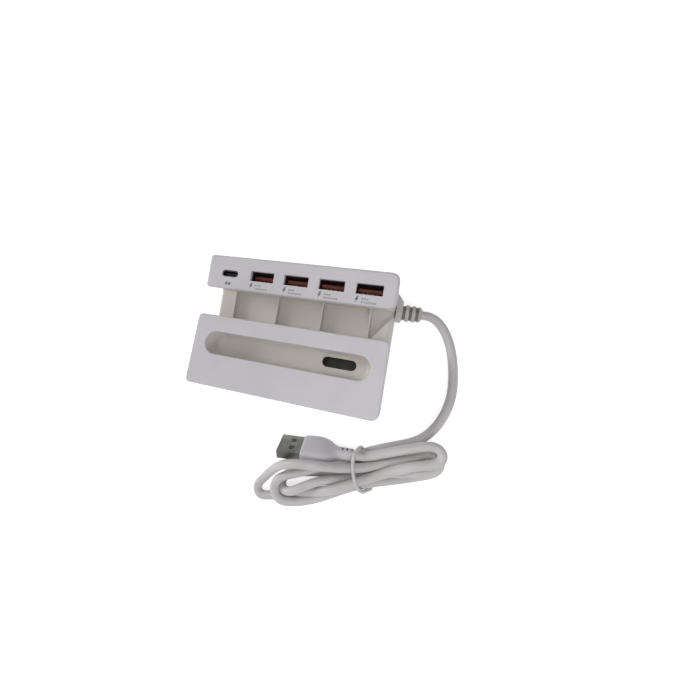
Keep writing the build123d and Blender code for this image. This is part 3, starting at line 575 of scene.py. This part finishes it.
def grown(piece, tree, sizes):
    """Runs a tree on a piece with these sizes, and leaves a plain mesh."""
    modifier = piece.modifiers.new(tree.name, "NODES")
    modifier.node_group = tree
    for item in tree.interface.items_tree:
        if item.in_out == "INPUT" and item.name in sizes:
            modifier[item.identifier] = sizes[item.name]
    bpy.context.scene.collection.objects.link(piece)
    ready = piece.evaluated_get(bpy.context.evaluated_depsgraph_get())
    mesh = bpy.data.meshes.new_from_object(ready)
    piece.modifiers.clear()
    piece.data = mesh
    return mesh


print("tree helpers ready")

# %% [markdown]
# Under each wide socket stands a small print in grey ink: a bolt and two lines of fine print, shown here as
# plain dashes. The bolt is drawn once, as a flat outline that is pushed up to a little thickness.

# %% Bolt
bolt_outline = [
    (0.15, 1.6), (-0.95, -0.25), (-0.2, -0.25), (-0.65, -1.6), (0.95, 0.45), (0.25, 0.45), (0.9, 1.6),
]
bolt_form = bmesh.new()
bolt_face = bolt_form.faces.new([bolt_form.verts.new((x * MM, y * MM, 0)) for x, y in bolt_outline])
thick = bmesh.ops.extrude_face_region(bolt_form, geom=[bolt_face])
for vert in thick["geom"]:
    if isinstance(vert, bmesh.types.BMVert):
        vert.co.z += 0.04 * MM
bmesh.ops.recalc_face_normals(bolt_form, faces=bolt_form.faces)
bolt_mesh = bpy.data.meshes.new("bolt")
bolt_form.to_mesh(bolt_mesh)
bolt_form.free()
print("bolt has", len(bolt_mesh.polygons), "faces")

# %% [markdown]
# The tree sets two rows of dashes beside the bolt and repeats the whole mark under each wide socket. The narrow
# socket gets two larger dashes of its own. The mesh is then laid on the sloping head.

# %% Print under the sockets
mark_sizes = {
    "Marks": 4, "Pitch": 18.0 * MM, "Upper dashes": 3, "Lower dashes": 6, "Dash length": 0.85 * MM,
    "Dash height": 0.8 * MM, "Dash pitch": 1.2 * MM, "Thickness": 0.04 * MM, "Narrow dashes": 2,
    "Narrow pitch": 1.8 * MM,
}
tree, given, result = new_tree("socket_print", mark_sizes)
dash_size = vector_of(tree, given["Dash length"], given["Dash height"], given["Thickness"])
dash = tree_node(tree, "GeometryNodeMeshCube", Size=dash_size)
step = vector_of(tree, given["Dash pitch"])
rows = []
for label, height in (("Upper dashes", 0.4 * MM), ("Lower dashes", -1.2 * MM)):
    spots = tree_node(
        tree, "GeometryNodeMeshLine", Count=given[label], Start_Location=(2.6 * MM, height, 0.02 * MM), Offset=step
    )
    rows.append(tree_node(tree, "GeometryNodeInstanceOnPoints", Points=spots, Instance=dash))
lines = tree_node(tree, "GeometryNodeJoinGeometry", Geometry=rows)
lines = tree_node(tree, "GeometryNodeRealizeInstances", Geometry=lines)
lines = tree_node(tree, "GeometryNodeSetMaterial", Geometry=lines, Material=pale_ink_look)
bolt = tree_node(tree, "GeometryNodeSetMaterial", Geometry=given["Geometry"], Material=ink_look)
mark = tree_node(tree, "GeometryNodeJoinGeometry", Geometry=[bolt, lines])
places = tree_node(tree, "GeometryNodeMeshLine", Count=given["Marks"], Offset=vector_of(tree, given["Pitch"]))
marks = tree_node(tree, "GeometryNodeInstanceOnPoints", Points=places, Instance=mark)
spots = tree_node(
    tree, "GeometryNodeMeshLine", Count=given["Narrow dashes"], Start_Location=(-13.9 * MM, -0.1 * MM, 0.02 * MM),
    Offset=vector_of(tree, given["Narrow pitch"])
)
narrow = tree_node(tree, "GeometryNodeInstanceOnPoints", Points=spots, Instance=dash, Scale=(1.5, 1.8, 1.0))
narrow = tree_node(tree, "GeometryNodeSetMaterial", Geometry=narrow, Material=ink_look)
every = tree_node(tree, "GeometryNodeJoinGeometry", Geometry=[marks, narrow])
tree.links.new(tree_node(tree, "GeometryNodeRealizeInstances", Geometry=every), result["Geometry"])
socket_print = bpy.data.objects.new("socket_print", bolt_mesh)
print_mesh = grown(socket_print, tree, mark_sizes)
head_tilt = math.radians(8)
head_place = Matrix.Translation(Vector((0, 24.38, 28.33)) * MM) @ Matrix.Rotation(head_tilt, 4, "X")
print_mesh.transform(head_place @ Matrix.Translation(Vector((-23.35, -5.1, -0.015)) * MM))
print("print has", len(print_mesh.polygons), "faces")

# %% [markdown]
# Four screws hold the cover, sunk in its underside. Each has a flat head with a cross recess. The tree cuts
# two bars out of a cylinder, adds the shank, and puts one screw at each point of the mesh it is given.

# %% Cover screw
low, high = (Vector(c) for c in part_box("cover_screws"))
head = 2.2 * MM
screw_sizes = {
    "Head radius": head, "Head height": 1.6 * MM, "Shank radius": 1.1 * MM, "Shank length": 8.0 * MM,
    "Recess length": 2.6 * MM, "Recess width": 0.6 * MM, "Recess depth": 0.9 * MM,
}
tree, given, result = new_tree("cross_screw", screw_sizes)
disc = tree_node(
    tree, "GeometryNodeMeshCylinder", Vertices=40, Radius=given["Head radius"], Depth=given["Head height"]
)
head_up = sum_of(tree, "MULTIPLY", given["Head height"], 0.5)
disc = tree_node(tree, "GeometryNodeTransform", Geometry=disc, Translation=vector_of(tree, z=head_up))
deep_twice = sum_of(tree, "MULTIPLY", given["Recess depth"], 2.0)
bars = [
    tree_node(tree, "GeometryNodeMeshCube", Size=vector_of(tree, given[a], given[b], deep_twice))
    for a, b in (("Recess length", "Recess width"), ("Recess width", "Recess length"))
]
head_cut = tree.nodes.new("GeometryNodeMeshBoolean")
head_cut.operation = "DIFFERENCE"
tree.links.new(disc, head_cut.inputs[0])
for bar in bars:
    tree.links.new(bar, head_cut.inputs[1])
shank = tree_node(
    tree, "GeometryNodeMeshCylinder", Vertices=24, Radius=given["Shank radius"], Depth=given["Shank length"]
)
shank_up = sum_of(tree, "MULTIPLY", given["Shank length"], 0.5)
shank_up = sum_of(tree, "ADD", shank_up, given["Head height"])
shank = tree_node(tree, "GeometryNodeTransform", Geometry=shank, Translation=vector_of(tree, z=shank_up))
screw = tree_node(tree, "GeometryNodeJoinGeometry", Geometry=[head_cut.outputs[0], shank])
set_out = tree_node(tree, "GeometryNodeInstanceOnPoints", Points=given["Geometry"], Instance=screw)
plain = tree_node(tree, "GeometryNodeRealizeInstances", Geometry=set_out)
plain = tree_node(tree, "GeometryNodeSetMaterial", Geometry=plain, Material=screw_look)
tree.links.new(plain, result["Geometry"])
print("screw tree has", len(tree.nodes), "nodes")

# %% [markdown]
# The screws stand at the corners of the box of the measured ones, the front pair a little nearer to the middle.
# A mesh of four loose points carries them, and the tree runs on it.

# %% Set the screws
front_x = 41.0 * MM
spots = [(x, low.y + head, low.z) for x in (-front_x, front_x)]
spots += [(x, high.y - head, low.z) for x in (low.x + head, high.x - head)]
spot_mesh = bpy.data.meshes.new("screw_spots")
spot_mesh.from_pydata(spots, [], [])
cross_screws = bpy.data.objects.new("cross_screws", spot_mesh)
screw_mesh = grown(cross_screws, tree, screw_sizes)
print("screws have", len(screw_mesh.polygons), "faces")

# %% [markdown]
# Every new piece is told which body carries it, and the measured pieces it stands for are hidden.

# %% Join the new pieces to the model
for piece, finish, stands_for in (
    (cord, "cord_vinyl", ("cord_lead", "cord_hank")),
    (plug_grip, "plug_vinyl", ("plug_overmould",)),
    (tie_loop, "tie_vinyl", ("cord_tie",)),
    (socket_print, "inductor_ferrite", ()),
    (cross_screws, "screw_steel", ("cover_screws",)),
):
    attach(piece, "root")
    if stands_for:
        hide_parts(*stands_for)
print("new pieces joined")

# %% [markdown]
# A pale floor carries the charger. To the camera, to gloss and through glass it is lifted to white, as on
# a light table, while the light that it gives back stays plain and the object's shadow remains.

# %% Floor
floor_mesh = bpy.data.meshes.new("floor")
floor_mesh.from_pydata([(-3, -3, 0), (3, -3, 0), (3, 3, 0), (-3, 3, 0)], [], [(0, 1, 2, 3)])
floor = bpy.data.objects.new("floor", floor_mesh)
bpy.context.scene.collection.objects.link(floor)
floor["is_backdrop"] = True
floor_look, tree, shader = fresh_finish("floor_look", (0.85, 0.85, 0.85), 0.9)
ray = tree.nodes.new("ShaderNodeLightPath")
seen = sum_of(tree, "MAXIMUM", ray.outputs["Is Camera Ray"], ray.outputs["Is Glossy Ray"])
seen = sum_of(tree, "MAXIMUM", seen, ray.outputs["Is Transmission Ray"])
tree.links.new(sum_of(tree, "MULTIPLY", seen, 0.65), shader.inputs["Emission Strength"])
shader.inputs["Emission Color"].default_value = (1, 1, 1, 1)
floor_mesh.materials.append(floor_look)
print("floor laid")

# %% [markdown]
# The photograph has soft light low from the left, which leaves the left end of the trough in shade, a little
# from above, and some from the near right corner, which reaches under the head. Three square area lamps do
# that, and a dim even world fills the hollows.

# %% Light
world = bpy.data.worlds.new("studio")
bpy.context.scene.world = world
world.use_nodes = True
backdrop = world.node_tree.nodes["Background"]
backdrop.inputs["Color"].default_value = (0.97, 0.97, 1.0, 1)
backdrop.inputs["Strength"].default_value = 0.29


def soft_light(name, place, target, size, power):
    data = bpy.data.lights.new(name, "AREA")
    data.shape = "SQUARE"
    data.size = size
    data.energy = power
    lamp = bpy.data.objects.new(name, data)
    lamp.location = place
    lamp.rotation_euler = (Vector(target) - Vector(place)).to_track_quat("-Z", "Y").to_euler()
    bpy.context.scene.collection.objects.link(lamp)


soft_light("window", (-1.5, 0.1, 0.6), (0, 0, 0), 0.6, 12.0)
soft_light("overhead", (0.05, -0.03, 0.55), (0, 0, 0), 0.35, 0.38)
soft_light("front", (0.22, -0.28, 0.3), (0, 0, 0), 0.25, 0.58)
bpy.context.scene.view_settings.view_transform = "Standard"
print("lamps set")

# %% Finish
size = {"cad": [list(c) for c in cad_box], "visual": [list(c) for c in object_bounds()]}
print("box", size)
